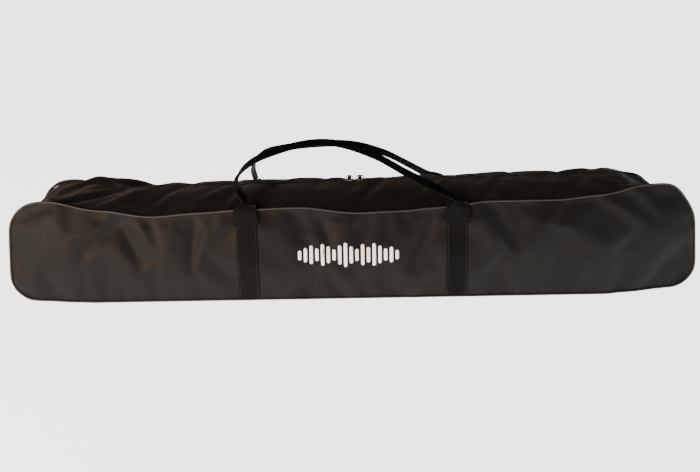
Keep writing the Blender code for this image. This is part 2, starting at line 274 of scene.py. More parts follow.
TOP_FOLDS = (  # lines across the top, in metres along it and across it
    ((-0.565, -0.080), (-0.480, -0.020), 0.010, 0.009),
    ((-0.540, -0.085), (-0.440, -0.018), 0.010, -0.006),
    ((-0.470, -0.090), (-0.385, -0.020), 0.012, 0.006),
    ((-0.400, -0.085), (-0.330, -0.018), 0.011, -0.005),
    ((-0.290, -0.085), (-0.225, -0.020), 0.010, 0.005),
    ((-0.245, -0.092), (-0.215, -0.030), 0.008, -0.005),
    ((-0.130, -0.085), (-0.165, -0.030), 0.009, 0.004),
    ((0.000, -0.088), (0.055, -0.025), 0.012, -0.004),
    ((0.130, -0.085), (0.175, -0.030), 0.009, 0.005),
    ((0.225, -0.088), (0.270, -0.030), 0.010, 0.004),
    ((0.420, -0.070), (0.445, -0.030), 0.007, -0.004),
    ((0.520, -0.080), (0.555, -0.030), 0.010, -0.005),
    ((-0.570, 0.064), (-0.360, 0.062), 0.018, 0.016),
    ((-0.540, 0.085), (-0.450, 0.020), 0.012, 0.006),
    ((-0.420, 0.085), (-0.350, 0.020), 0.012, -0.005),
    ((-0.240, 0.090), (-0.200, 0.030), 0.009, 0.005),
    ((0.020, 0.085), (-0.040, 0.025), 0.012, 0.004),
    ((0.230, 0.090), (0.170, 0.030), 0.010, -0.005),
    ((0.500, 0.085), (0.420, 0.020), 0.012, 0.006),
)
REGIONS = (
    "front_panel", "rear_panel", "base_panel", "left_end_panel", "right_end_panel",
    "front_top_left", "front_top_right", "rear_top_left", "rear_top_right", "zip_gap",
)


def along_bag(shape, x):
    """The value at x of a list of (x, value) points, eased between them."""
    places = [p for p, _ in shape]
    i = min(max(int(np.searchsorted(places, x)) - 1, 0), len(shape) - 2)
    (x0, v0), (x1, v1) = shape[i], shape[i + 1]
    t = min(max((x - x0) / (x1 - x0), 0.0), 1.0)
    return v0 + (v1 - v0) * t * t * (3 - 2 * t)


def cut_grid(axis, places):
    """Cuts the mesh being edited by a plane across an axis at each place."""
    normal = [0.0, 0.0, 0.0]
    normal[axis] = 1.0
    for place in places:
        point = [0.0, 0.0, 0.0]
        point[axis] = place
        bpy.ops.mesh.select_all(action="SELECT")
        bpy.ops.mesh.bisect(plane_co=point, plane_no=normal)


def spaced(low, high):
    """Places between two limits, about a cloth cell apart, without the limits."""
    steps = max(1, round((high - low) / CLOTH_CELL))
    return [low + (high - low) * i / steps for i in range(1, steps)]


deselect()
bpy.ops.mesh.primitive_cube_add(size=1, location=(0, 0, SEAM_HEIGHT / 2))
skin = bpy.context.object
skin.name = "shell_skin"
skin.scale = (2 * HALF_LENGTH, 2 * SIDE, SEAM_HEIGHT)
bpy.ops.object.transform_apply(location=True, rotation=True, scale=True)
bpy.ops.object.mode_set(mode="EDIT")
bpy.ops.mesh.select_mode(type="EDGE")
bpy.ops.mesh.select_all(action="DESELECT")
bpy.ops.object.mode_set(mode="OBJECT")
for edge in skin.data.edges:
    a, b = (skin.data.vertices[i].co for i in edge.vertices)
    edge.select = abs(a.y - b.y) > SIDE
bpy.ops.object.mode_set(mode="EDIT")
bpy.ops.mesh.bevel(offset=CORNER, segments=7, profile=0.5)
cut_grid(0, [-FLAP_END, 0.0, FLAP_END])
cut_grid(0, spaced(-FLAP_END, 0.0) + spaced(0.0, FLAP_END))
cut_grid(0, spaced(FLAP_END, HALF_LENGTH) + spaced(-HALF_LENGTH, -FLAP_END))
cut_grid(1, [-LIP, 0.0, LIP] + spaced(-SIDE, -LIP) + spaced(LIP, SIDE))
cut_grid(2, spaced(0.0, SEAM_HEIGHT))
bpy.ops.mesh.select_all(action="SELECT")
bpy.ops.mesh.remove_doubles(threshold=0.0012)
bpy.ops.object.mode_set(mode="OBJECT")

for name in REGIONS:
    skin.data.materials.append(None)


def region_of(centre, normal):
    if normal.y < -0.9:
        return "front_panel"
    if normal.y > 0.9:
        return "rear_panel"
    if abs(centre.x) > FLAP_END:
        return "right_end_panel" if centre.x > 0 else "left_end_panel"
    if normal.z < 0:
        return "base_panel"
    if abs(centre.y) < LIP:
        return "zip_gap"
    end = "right" if centre.x > 0 else "left"
    return ("front_top_" if centre.y < 0 else "rear_top_") + end


flat_map = skin.data.uv_layers.new(name="flat_cloth")
sides_of_edge = {}
for face in skin.data.polygons:
    region = region_of(face.center, face.normal)
    face.material_index = REGIONS.index(region)
    for key in face.edge_keys:
        sides_of_edge.setdefault(key, []).append(region)
    for loop in face.loop_indices:
        at = skin.data.vertices[skin.data.loops[loop].vertex_index].co
        if region in ("front_panel", "rear_panel"):
            flat_map.data[loop].uv = (at.x, at.z)
        elif "end" in region:
            flat_map.data[loop].uv = (at.z + abs(at.x), at.y)
        else:
            flat_map.data[loop].uv = (at.x, at.y)

SEAMS = {  # the edges round the front and round the rear panel, where the piping is sewn in
    side: [key for key, regions in sides_of_edge.items() if regions.count(side + "_panel") == 1]
    for side in ("front", "rear")
}


def rise(x):
    """Height of the crest above the long seams: level in the middle, and down to nothing at both ends."""
    t = min(max((FLAP_END + RISE_PAST - abs(x)) / RISE_OVER, 0.0), 1.0)
    return (CREST_RISE + CREST_CLIMB * x) * t * t * (3 - 2 * t)


def fold_depth(folds, u, v):
    """How far a point of a panel is pushed by its folds, each a soft groove or ridge along a short line that
    is (from, to, half its width, its height)."""
    total = 0.0
    for (u0, v0), (u1, v1), wide, high in folds:
        along_u, along_v = u1 - u0, v1 - v0
        length = math.hypot(along_u, along_v)
        t = ((u - u0) * along_u + (v - v0) * along_v) / length**2
        if -FOLD_PAST < t < 1 + FOLD_PAST:
            off = ((u - u0) * along_v - (v - v0) * along_u) / length / wide
            fade = math.sin(math.pi * (t + FOLD_PAST) / (1 + 2 * FOLD_PAST)) ** 1.5
            total += high * fade * math.exp(-off * off)
    return total


at_rest = np.array([v.co for v in skin.data.vertices])
rest_place = skin.data.attributes.new("rest_place", "FLOAT_VECTOR", "POINT")
rest_place.data.foreach_set("vector", at_rest.ravel())
shaped = at_rest.copy()
for i, (x, y, z) in enumerate(at_rest):
    up = z / SEAM_HEIGHT
    over = 1 - abs(y) / SIDE
    aside = (1 - over) ** 2  # the seams' rise and fall fades out towards the zip, which stays straight
    lift = along_bag(SEAM_SHAPE, x) * up * aside + along_bag(BASE_SHAPE, x) * (1 - up)
    if y > 0:
        lift += along_bag(REAR_SEAM_DROP, x) * up * aside
    if z > SEAM_HEIGHT - CORNER:
        top_share = (z - SEAM_HEIGHT + CORNER) / CORNER
        lift += rise(x) * math.sin(over * math.pi / 2) ** TOP_ROUND * top_share**4
    out = 0.0
    if y < -SIDE + 1e-5:
        out = -fold_depth(FRONT_FOLDS, x, z) - PANEL_SWELL * math.sin(math.pi * up)
    elif y > SIDE - 1e-5:
        out = fold_depth(REAR_FOLDS, x, z) + PANEL_SWELL * math.sin(math.pi * up)
    elif z > SEAM_HEIGHT - 1e-5 and abs(y) > LIP + 1e-4:
        lift += fold_depth(TOP_FOLDS, x, y) * min(1.0, over * 6)
    shaped[i] = (x * (1 - TOP_NARROWER * up), y + out, z + lift)
skin.data.vertices.foreach_set("co", shaped.ravel())

seam_group = skin.vertex_groups.new(name="held")
on_seam = np.zeros(len(at_rest), bool)
for keys in SEAMS.values():
    on_seam[np.array(keys).ravel()] = True
shaped[on_seam, 1] = at_rest[on_seam, 1]  # the folds end at the seams
skin.data.vertices.foreach_set("co", shaped.ravel())
on_lip = (np.abs(at_rest[:, 1]) < LIP + 1e-4) & (at_rest[:, 2] > SEAM_HEIGHT - 1e-5)
held_weight = np.full(len(at_rest), FOAM_HOLD)
held_weight[on_lip] = LIP_HOLD
held_weight[on_seam] = SEAM_HOLD
held_weight[at_rest[:, 2] < 1e-5] = 1.0
for weight in sorted(set(held_weight)):
    seam_group.add([int(i) for i in np.flatnonzero(held_weight == weight)], float(weight), "REPLACE")


def apply_modifiers(piece):
    """Applies every modifier of a piece in turn."""
    deselect()
    piece.select_set(True)
    bpy.context.view_layer.objects.active = piece
    for name in [m.name for m in piece.modifiers]:
        bpy.ops.object.modifier_apply(modifier=name)


def settle_cloth(piece, frames):
    """Runs the cloth and applies it: the cloth is cut a little larger than the foam box inside it, so it
    buckles into creases between its seams."""
    cloth = piece.modifiers.new("cloth", "CLOTH")
    cloth.settings.quality = 6
    cloth.settings.mass = 0.35
    cloth.settings.tension_stiffness = 25
    cloth.settings.compression_stiffness = 25
    cloth.settings.shear_stiffness = 12
    cloth.settings.bending_stiffness = BENDING
    cloth.settings.tension_damping = 8
    cloth.settings.bending_damping = 1.0
    cloth.settings.air_damping = 3.0
    cloth.settings.shrink_min = -CLOTH_EXCESS
    cloth.settings.vertex_group_mass = "held"
    cloth.settings.pin_stiffness = 6.0
    cloth.settings.effector_weights.gravity = 0.0
    cloth.settings.use_pressure = True
    cloth.settings.uniform_pressure_force = FILL_PRESSURE
    cloth.collision_settings.use_collision = False
    cloth.point_cache.frame_start = 1
    cloth.point_cache.frame_end = frames
    for frame_number in range(1, frames + 1):
        bpy.context.scene.frame_set(frame_number)
    apply_modifiers(piece)


settle_cloth(skin, CLOTH_FRAMES)
settled = np.array([v.co for v in skin.data.vertices])
moved = settled - shaped
share = np.minimum(1.0, MOST_MOVE / np.maximum(np.linalg.norm(moved, axis=1), 1e-9))
settled = shaped + moved * share[:, None]
settled[:, 2] = np.maximum(settled[:, 2], 0.0)
skin.data.vertices.foreach_set("co", settled.ravel())

seam_keys = {key for keys in SEAMS.values() for key in keys}
creases = skin.data.attributes.new("crease_edge", "FLOAT", "EDGE")
creases.data.foreach_set("value", [float(e.key in seam_keys) for e in skin.data.edges])


# ---------------------------------------------------------------------------------------------------------
# The outer panels: 600 denier polyester, plain woven and coated on the back, cut and sewn edge to edge. Each
# is its own region of the skin, smoothed, with the cloth's thickness turned inwards.

CLOTH_THICK = 0.0011
POLYESTER_COLOUR = "#0f0e0d"
YARN_SPACING = 0.0016  # the real yarns are 0.5 mm apart: drawn coarser, so that they show


def linked(material, value, low, high):
    """A 0 to 1 value spread over another range."""
    return add_node(
        material,
        "ShaderNodeMapRange",
        inputs={"To Min": low, "To Max": high},
        links={"Value": value},
    ).outputs["Result"]


def bands(material, vector, direction, spacing):
    """Sine bands of a given spacing in metres, from 0 to 1."""
    wave_scale = 2 * math.pi / (20 * spacing)
    settings = {"wave_type": "BANDS", "bands_direction": direction, "wave_profile": "SIN"}
    wave = add_node(material, "ShaderNodeTexWave", settings, {"Scale": wave_scale}, {"Vector": vector})
    return wave.outputs["Fac"]


def mixed(material, share, colour_a, colour_b):
    """Two colours mixed by a value."""
    mix = add_node(material, "ShaderNodeMix", {"data_type": "RGBA"}, links={"Factor": share})
    mix.inputs["A"].default_value = linear(colour_a)
    mix.inputs["B"].default_value = linear(colour_b)
    return mix.outputs["Result"]


def woven_polyester():
    """Matt black filament cloth: the crossing yarns break its sheen up, and it looks greyer at an angle."""
    material, shader = new_material(
        "woven_polyester_600d", POLYESTER_COLOUR, 0.55, Specular_IOR_Level=0.10, Sheen_Weight=0.05
    )
    flat = add_node(material, "ShaderNodeUVMap", {"uv_map": "flat_cloth"}).outputs["UV"]
    place = add_node(material, "ShaderNodeTexCoord").outputs["Object"]
    warp = bands(material, flat, "X", YARN_SPACING)
    weft = bands(material, flat, "Y", YARN_SPACING)
    weave = add_node(material, "ShaderNodeMath", {"operation": "MULTIPLY"})
    material.node_tree.links.new(warp, weave.inputs[0])
    material.node_tree.links.new(weft, weave.inputs[1])
    dust = add_node(
        material,
        "ShaderNodeTexNoise",
        inputs={"Scale": 9.0, "Detail": 5.0, "Roughness": 0.6},
        links={"Vector": place},
    ).outputs["Fac"]
    crumple = add_node(
        material,
        "ShaderNodeTexNoise",
        inputs={"Scale": 55.0, "Detail": 3.0, "Distortion": 0.6},
        links={"Vector": place},
    ).outputs["Fac"]
    tone = mixed(material, dust, "#090808", "#121110")
    material.node_tree.links.new(tone, shader.inputs["Base Color"])
    material.node_tree.links.new(linked(material, crumple, 0.44, 0.62), shader.inputs["Roughness"])
    soft = add_node(
        material, "ShaderNodeBump", inputs={"Strength": 0.25, "Distance": 0.0022}, links={"Height": crumple}
    )
    fine = add_node(
        material,
        "ShaderNodeBump",
        inputs={"Strength": 0.35, "Distance": 0.0003},
        links={"Height": weave.outputs["Value"], "Normal": soft.outputs["Normal"]},
    )
    material.node_tree.links.new(fine.outputs["Normal"], shader.inputs["Normal"])
    return material


def cut_layer(name, wanted, smooth, inset, thick, rings=0):
    """A copy of the skin where wanted(region, rest place) holds, as one layer. Its outer face is set in by
    inset, its thickness goes inwards, and it stops that many rings of cells inside its borders."""
    layer = bpy.data.objects.new(name, skin.data.copy())
    bpy.context.scene.collection.objects.link(layer)
    if smooth:
        finer = layer.modifiers.new("finer", "SUBSURF")
        finer.levels = finer.render_levels = smooth
        apply_modifiers(layer)
    mesh = layer.data
    if inset:
        normals = np.array([v.normal for v in mesh.vertices])
        places = np.array([v.co for v in mesh.vertices])
        mesh.vertices.foreach_set("co", (places - normals * inset).ravel())
    bm = bmesh.new()
    bm.from_mesh(mesh)
    rest = bm.verts.layers.float_vector["rest_place"]
    others = []
    for face in bm.faces:
        middle = sum((v[rest] for v in face.verts), Vector()) / len(face.verts)
        if not wanted(REGIONS[face.material_index], middle):
            others.append(face)
    bmesh.ops.delete(bm, geom=others, context="FACES")
    for _ in range(rings):
        edge_faces = {face for v in bm.verts if v.is_boundary for face in v.link_faces}
        bmesh.ops.delete(bm, geom=list(edge_faces), context="FACES")
    for face in bm.faces:
        face.material_index = 0
        face.smooth = True
    bm.to_mesh(mesh)
    bm.free()
    mesh.materials.clear()
    wall = layer.modifiers.new("wall", "SOLIDIFY")
    wall.thickness = thick
    wall.offset = -1.0
    wall.use_even_offset = False
    apply_modifiers(layer)
    bpy.ops.object.shade_smooth_by_angle(angle=math.radians(60))
    deselect()
    return layer


def dress(piece, material, slot, *nodes):
    """Gives a piece its material and hides the CAD nodes that it stands for; its slot is not used."""
    piece.data.materials.append(material)
    if nodes:
        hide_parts(*nodes)


def ride_as_flap(piece):
    """Bakes a half-flap piece's transform into its mesh; the piece is attached to no body."""
    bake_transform(piece)


POLYESTER = woven_polyester()
SHELL_PANELS = ("front_panel", "rear_panel", "base_panel", "left_end_panel", "right_end_panel")
FLAP_HALVES = [(half, end) for half in ("front", "rear") for end in ("left", "right")]
for panel in SHELL_PANELS:
    piece = cut_layer(panel + "_cloth", lambda region, at: region == panel, 1, 0.0, CLOTH_THICK)
    dress(piece, POLYESTER, "woven_polyester", panel)
    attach(piece, "shell")
for half, end in FLAP_HALVES:
    region_name = f"{half}_top_{end}"
    piece = cut_layer(
        f"{half}_top_cloth_{end}", lambda region, at: region == region_name, 1, 0.0, CLOTH_THICK
    )
    dress(piece, POLYESTER, "woven_polyester", f"{half}_top_panel")
    ride_as_flap(piece)


# ---------------------------------------------------------------------------------------------------------
# The padding: a sheet of closed-cell foam behind each panel, cut a little smaller than it so that the seams
# stay thin, and held by the lining.

FOAM_THICK = 0.0045
FOAM_INSET = CLOTH_THICK + 0.0008


def closed_cell_foam():
    """Charcoal polyethylene foam: fine cells give it a dull, faintly pitted face."""
    material, shader = new_material("polyethylene_foam", "#4a4b4d", 0.85)
    place = add_node(material, "ShaderNodeTexCoord").outputs["Object"]
    cells = add_node(material, "ShaderNodeTexVoronoi", inputs={"Scale": 700.0}, links={"Vector": place})
    pits = add_node(
        material,
        "ShaderNodeBump",
        inputs={"Strength": 0.4, "Distance": 0.0004},
        links={"Height": cells.outputs["Distance"]},
    )
    material.node_tree.links.new(pits.outputs["Normal"], shader.inputs["Normal"])
    return material


FOAM_SHEET = closed_cell_foam()
for panel in SHELL_PANELS:
    pad = panel.replace("panel", "pad")
    piece = cut_layer(pad + "_foam", lambda region, at: region == panel, 0, FOAM_INSET, FOAM_THICK, rings=1)
    dress(piece, FOAM_SHEET, "foam", pad)
    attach(piece, "shell")
for half, end in FLAP_HALVES:
    region_name = f"{half}_top_{end}"
    piece = cut_layer(
        f"{half}_top_foam_{end}", lambda region, at: region == region_name, 0, FOAM_INSET, FOAM_THICK, rings=1
    )
    dress(piece, FOAM_SHEET, "foam", f"{half}_top_pad")
    ride_as_flap(piece)


# ---------------------------------------------------------------------------------------------------------
# The lining: thin plain nylon that covers the foam inside, one sewn tray in the shell and one sheet under
# each flap.

LINING_THICK = 0.0006
LINING_INSET = FOAM_INSET + FOAM_THICK + 0.0006


def lining_nylon():
    """Light woven nylon with a slight calendered shine, a little greyer than the outside."""
    material, shader = new_material("lining_nylon_210d", "#3c3d40", 0.42, Sheen_Weight=0.1)
    flat = add_node(material, "ShaderNodeUVMap", {"uv_map": "flat_cloth"}).outputs["UV"]
    place = add_node(material, "ShaderNodeTexCoord").outputs["Object"]
    rip = bands(material, flat, "X", 0.006)
    ripple = add_node(
        material, "ShaderNodeTexNoise", inputs={"Scale": 28.0, "Detail": 3.0}, links={"Vector": place}
    ).outputs["Fac"]
    puckers = add_node(
        material, "ShaderNodeBump", inputs={"Strength": 0.4, "Distance": 0.004}, links={"Height": ripple}
    )
    cords = add_node(
        material,
        "ShaderNodeBump",
        inputs={"Strength": 0.15, "Distance": 0.0003},
        links={"Height": rip, "Normal": puckers.outputs["Normal"]},
    )
    material.node_tree.links.new(cords.outputs["Normal"], shader.inputs["Normal"])
    material.node_tree.links.new(linked(material, ripple, 0.34, 0.52), shader.inputs["Roughness"])
    return material


LINING = lining_nylon()
piece = cut_layer("tray_lining", lambda region, at: region in SHELL_PANELS, 0, LINING_INSET, LINING_THICK)
dress(piece, LINING, "lining_cloth", "main_lining")
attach(piece, "shell")
for half, end in FLAP_HALVES:
    region_name = f"{half}_top_{end}"
    piece = cut_layer(
        f"{half}_top_lining_{end}", lambda region, at: region == region_name, 0, LINING_INSET, LINING_THICK
    )
    dress(piece, LINING, "lining_cloth", f"{half}_top_lining")
    ride_as_flap(piece)


# ---------------------------------------------------------------------------------------------------------
# The piping: a cord wrapped in a strip of glossier cloth and caught in the seam all round the front and the
# rear panel, where it stiffens the bag's long edges.

PIPING_RADIUS = 0.0019
PIPING_OUT = 0.0012  # the cord stands this far out of its seam
PIPING_STEP = 0.006


def smooth_route(points, steps):
    """Points of a smooth curve through the given ones."""
    made = []
    for i in range(len(points) - 1):
        p0, p1, p2, p3 = (points[min(max(k, 0), len(points) - 1)] for k in (i - 1, i, i + 1, i + 2))
        for j in range(steps):
            t = j / steps
            bend = (2 * p0 - 5 * p1 + 4 * p2 - p3) * t * t + (3 * p1 - p0 - 3 * p2 + p3) * t**3
            made.append((2 * p1 + (p2 - p0) * t + bend) / 2)
    return made + [points[-1]]


def swept(name, centres, sections, outline, closed):
    """A tube through the centres. Each section is a pair of half-width vectors that the outline multiplies.
    Its map holds metres round the tube and along it."""
    bm = bmesh.new()
    along = bm.loops.layers.uv.new("along_web")
    rings = []
    for centre, (wide, thick) in zip(centres, sections):
        rings.append([bm.verts.new(centre + wide * u + thick * v) for u, v in outline])
    count = len(outline)
    travelled = [0.0]
    for a, b in zip(centres, centres[1:] + centres[:1]):
        travelled.append(travelled[-1] + (b - a).length)
    half_width = sections[0][0].length
    pairs = list(zip(rings, rings[1:] + rings[:1]))
    for i, (a, b) in enumerate(pairs if closed else pairs[:-1]):
        for k in range(count):
            face = bm.faces.new((a[k], a[(k + 1) % count], b[(k + 1) % count], b[k]))
            face.smooth = True
            u0, u1 = (outline[j][0] * half_width for j in (k, (k + 1) % count))
            v0, v1 = travelled[i], travelled[i + 1]
            for loop, uv in zip(face.loops, ((u0, v0), (u1, v0), (u1, v1), (u0, v1))):
                loop[along].uv = uv
    if not closed:
        bm.faces.new(rings[0][::-1])
        bm.faces.new(rings[-1])
    bmesh.ops.recalc_face_normals(bm, faces=bm.faces[:])
    mesh = bpy.data.meshes.new(name)
    bm.to_mesh(mesh)
    bm.free()
    made = bpy.data.objects.new(name, mesh)
    bpy.context.scene.collection.objects.link(made)
    return made


def round_outline(steps):
    return [(math.cos(2 * math.pi * i / steps), math.sin(2 * math.pi * i / steps)) for i in range(steps)]


def seam_loop(keys):
    """The settled seam as an ordered closed loop of points, evenly spaced and eased."""
    beside = {}
    for a, b in keys:
        beside.setdefault(a, []).append(b)
        beside.setdefault(b, []).append(a)
    first = keys[0][0]
    order = [first, beside[first][0]]
    while len(order) < len(beside):
        order.append(next(v for v in beside[order[-1]] if v != order[-2]))
    loop = settled[order]
    for _ in range(3):
        loop = (np.roll(loop, 1, axis=0) + 2 * loop + np.roll(loop, -1, axis=0)) / 4
    around = np.vstack([loop, loop[:1]])
    gone = np.concatenate([[0.0], np.cumsum(np.linalg.norm(np.diff(around, axis=0), axis=1))])
    places = np.linspace(0.0, gone[-1], round(gone[-1] / PIPING_STEP), endpoint=False)
    return np.stack([np.interp(places, gone, around[:, axis]) for axis in range(3)], axis=1)


def piping_cloth():
    """Tightly wrapped binding cloth: a smoother, shinier face than the panels, lighter than them and mottled
    at random.
    """
    material, shader = new_material("piping_binding", "#2c2925", 0.42, Specular_IOR_Level=0.3)
    flat = add_node(material, "ShaderNodeUVMap", {"uv_map": "along_web"}).outputs["UV"]
    place = add_node(material, "ShaderNodeTexCoord").outputs["Object"]
    mottle = add_node(
        material, "ShaderNodeTexNoise", inputs={"Scale": 60.0, "Detail": 4.0}, links={"Vector": place}
    ).outputs["Fac"]
    material.node_tree.links.new(mixed(material, mottle, "#191714", "#2b2824"), shader.inputs["Base Color"])
    twill = add_node(
        material,
        "ShaderNodeBump",
        inputs={"Strength": 0.5, "Distance": 0.0003},
        links={"Height": bands(material, flat, "Y", 0.0022)},
    )
    material.node_tree.links.new(twill.outputs["Normal"], shader.inputs["Normal"])
    return material


PIPING = piping_cloth()
for half, sign in (("front", -1), ("rear", 1)):
    loop = seam_loop(SEAMS[half])
    middle = np.array([0.0, 0.0, SEAM_HEIGHT / 2])
    ahead = np.roll(loop, -1, axis=0) - np.roll(loop, 1, axis=0)
    centres = []
    sections = []
    for at, way in zip(loop, ahead):
        away = Vector((at[0] - math.copysign(min(abs(at[0]), FLAP_END), at[0]), 0, at[2] - middle[2]))
        way = Vector(way).normalized()
        away = (away - way * away.dot(way)).normalized()
        outward = (away + Vector((0, sign, 0))).normalized()
        centre = Vector(at) + outward * PIPING_OUT
        centre.z = max(centre.z, PIPING_RADIUS)
        centres.append(centre)
        sections.append((outward * PIPING_RADIUS, way.cross(outward).normalized() * PIPING_RADIUS))
    piece = swept(f"{half}_piping_cord", centres, sections, round_outline(9), closed=True)
    dress(piece, PIPING, "piping", f"{half}_piping")
    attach(piece, "shell")


# ---------------------------------------------------------------------------------------------------------
# The zip: two woven tapes sewn under the edges of the top, each with a nylon coil along it. The turns of the
# two coils stand half a turn apart, so that they close between each other.

TAPE_THICK = 0.0006
TAPE_INSET = CLOTH_THICK + 0.0003
COIL_PITCH = 0.0026
TURN_SIZE = (0.0017, 0.0040, 0.0023)  # along the zip, across it and upwards
TURN_OUT = 0.0016  # from the middle of the zip to the middle of a turn
TURN_LOW = TAPE_INSET
HEAD_WIDER = 1.3

crest_ids = np.flatnonzero(
    (np.abs(at_rest[:, 1]) < 1e-6)
    & (at_rest[:, 2] > SEAM_HEIGHT - 1e-5)
    & (np.abs(at_rest[:, 0]) < FLAP_END + 1e-5)
)
crest_ids = crest_ids[np.argsort(settled[crest_ids, 0])]
CREST_X = settled[crest_ids, 0]
CREST_Z = settled[crest_ids, 2]


def crest_point(x, y=0.0, up=0.0):
    """A place over the middle of the zip, which moves with the settled cloth."""
    return Vector((x, y, float(np.interp(x, CREST_X, CREST_Z)) + up))


def zip_tape():
    """Herringbone polyester tape: close diagonal ribs and a dull black."""
    material, shader = new_material("zip_tape_polyester", "#1b1a19", 0.72, Sheen_Weight=0.1)
    flat = add_node(material, "ShaderNodeUVMap", {"uv_map": "flat_cloth"}).outputs["UV"]
    ribs = bands(material, flat, "DIAGONAL", 0.0025)
    raised = add_node(
        material, "ShaderNodeBump", inputs={"Strength": 0.6, "Distance": 0.0004}, links={"Height": ribs}
    )
    material.node_tree.links.new(raised.outputs["Normal"], shader.inputs["Normal"])
    return material


def coil_nylon():
    """Extruded nylon wire: smooth and slightly glossy black, polished on top where the sliders run."""
    material, shader = new_material("coil_nylon_monofilament", "#171717", 0.3, Specular_IOR_Level=0.6)
    place = add_node(material, "ShaderNodeTexCoord").outputs["Object"]
    scuff = add_node(
        material, "ShaderNodeTexNoise", inputs={"Scale": 90.0}, links={"Vector": place}
    ).outputs["Fac"]
    material.node_tree.links.new(linked(material, scuff, 0.22, 0.45), shader.inputs["Roughness"])
    return material


def copies(name, pattern, places):
    """One mesh made of a pattern repeated at each place, a 4 by 4 matrix; the pattern itself is removed."""
    points = np.array([v.co[:] + (1.0,) for v in pattern.data.vertices])
    loops = [tuple(face.vertices) for face in pattern.data.polygons]
    made_points = np.vstack([points @ np.array(place).T for place in places])[:, :3]
    count = len(points)
    faces = [tuple(v + i * count for v in face) for i in range(len(places)) for face in loops]
    mesh = bpy.data.meshes.new(name)
    mesh.from_pydata(made_points.tolist(), [], faces)
    mesh.polygons.foreach_set("use_smooth", [True] * len(faces))
    mesh.update()
    made = bpy.data.objects.new(name, mesh)
    bpy.context.scene.collection.objects.link(made)
    bpy.data.objects.remove(pattern)
    return made


def bevelled_block(name, size, place, width, segments=1):
    """A block with rounded edges, its place and size in its mesh."""
    deselect()
    bpy.ops.mesh.primitive_cube_add(size=1, location=place)
    made = bpy.context.object
    made.name = name
    made.scale = size
    bpy.ops.object.transform_apply(location=True, rotation=True, scale=True)
    bpy.ops.object.mode_set(mode="EDIT")
    bpy.ops.mesh.select_all(action="SELECT")
    bpy.ops.mesh.bevel(offset=width, segments=segments)
    deselect()
    return made


TAPE = zip_tape()
COIL = coil_nylon()
TAPE_REACH = LIP + 1.05 * CLOTH_CELL
for (half, end), low_x in zip(FLAP_HALVES, (-FLAP_END, 0.0, -FLAP_END, 0.0)):
    sign = -1 if half == "front" else 1

    def on_tape(region, at):
        """The part of the top that lies over this tape."""
        on_top = region == "zip_gap" or "_top_" in region
        return on_top and 0 < at.y * sign < TAPE_REACH and low_x < at.x < low_x + FLAP_END

    piece = cut_layer(f"{half}_tape_{end}", on_tape, 1, TAPE_INSET, TAPE_THICK)
    dress(piece, TAPE, "zip_tape", f"{half}_zip_tape")
    ride_as_flap(piece)

    turn = bevelled_block("coil_turn", TURN_SIZE, (0, 0, TURN_SIZE[2] / 2), 0.0006)
    for vertex in turn.data.vertices:
        if vertex.co.y * sign < 0:
            vertex.co.x *= HEAD_WIDER
    first = low_x + COIL_PITCH * (0.5 if sign < 0 else 1.0)
    places = []
    for i in range(int((FLAP_END - COIL_PITCH) / COIL_PITCH)):
        x = first + i * COIL_PITCH
        if abs(x) < FLAP_END - 0.004:
            way = crest_point(x + COIL_PITCH) - crest_point(x - COIL_PITCH)
            turned = way.to_track_quat("X", "Z").to_matrix().to_4x4()
            places.append(Matrix.Translation(crest_point(x, sign * TURN_OUT, -TURN_LOW)) @ turned)
    piece = copies(f"{half}_coil_{end}", turn, places)
    dress(piece, COIL, "zip_coil", f"{half}_zip_coil")
    ride_as_flap(piece)


# ---------------------------------------------------------------------------------------------------------
# The webbing: 38 mm polypropylene web. One strap runs up the front and one up the back at each side, and
# each pair of straps goes on over the seam as a handle. A folded end of web is sewn over each handle's foot.

WEB_WIDTH = 0.038
WEB_THICK = 0.0018
STRAP_STEP = 0.005
STRAP_COLUMNS = 9
STRAP_LIFT = 0.0004
STRAP_LOW = 0.005
STRAP_LEAVES = SEAM_HEIGHT - 0.014  # above here the strap stands off the panel and over the piping
FOOT_Y = 0.106
FOOT_Z = 0.185
STRAP_X = 0.192
HANDLE_ROUTES = {
    "front": (
        (-0.192, -0.106, 0.187), (-0.205, -0.100, 0.214), (-0.202, -0.084, 0.236), (-0.170, -0.056, 0.260),
        (-0.096, -0.027, 0.279), (-0.030, -0.021, 0.280), (0.042, -0.032, 0.258), (0.100, -0.060, 0.230),
        (0.160, -0.092, 0.203), (0.192, -0.106, 0.187),
    ),
    "rear": (
        (-0.192, 0.106, 0.187), (-0.196, 0.098, 0.212), (-0.186, 0.076, 0.236), (-0.150, 0.046, 0.258),
        (-0.075, 0.026, 0.271), (0.000, 0.022, 0.271), (0.062, 0.030, 0.253), (0.112, 0.050, 0.225),
        (0.152, 0.080, 0.198), (0.177, 0.099, 0.189), (0.192, 0.106, 0.182),
    ),
}
FOOT_TURN, TURNED_FROM = 0.86, 0.085  # of a quarter turn at a handle's foot, and whole from here on
HAND_TILT = math.radians(9)  # the handles lean over together, so that their rear edges are higher
FOOT_GATHER, GATHERED_FROM = 0.55, 0.055  # the share of its width that the web keeps where it is sewn in
SELVAGE = 1.18  # the web's edges are this much thicker


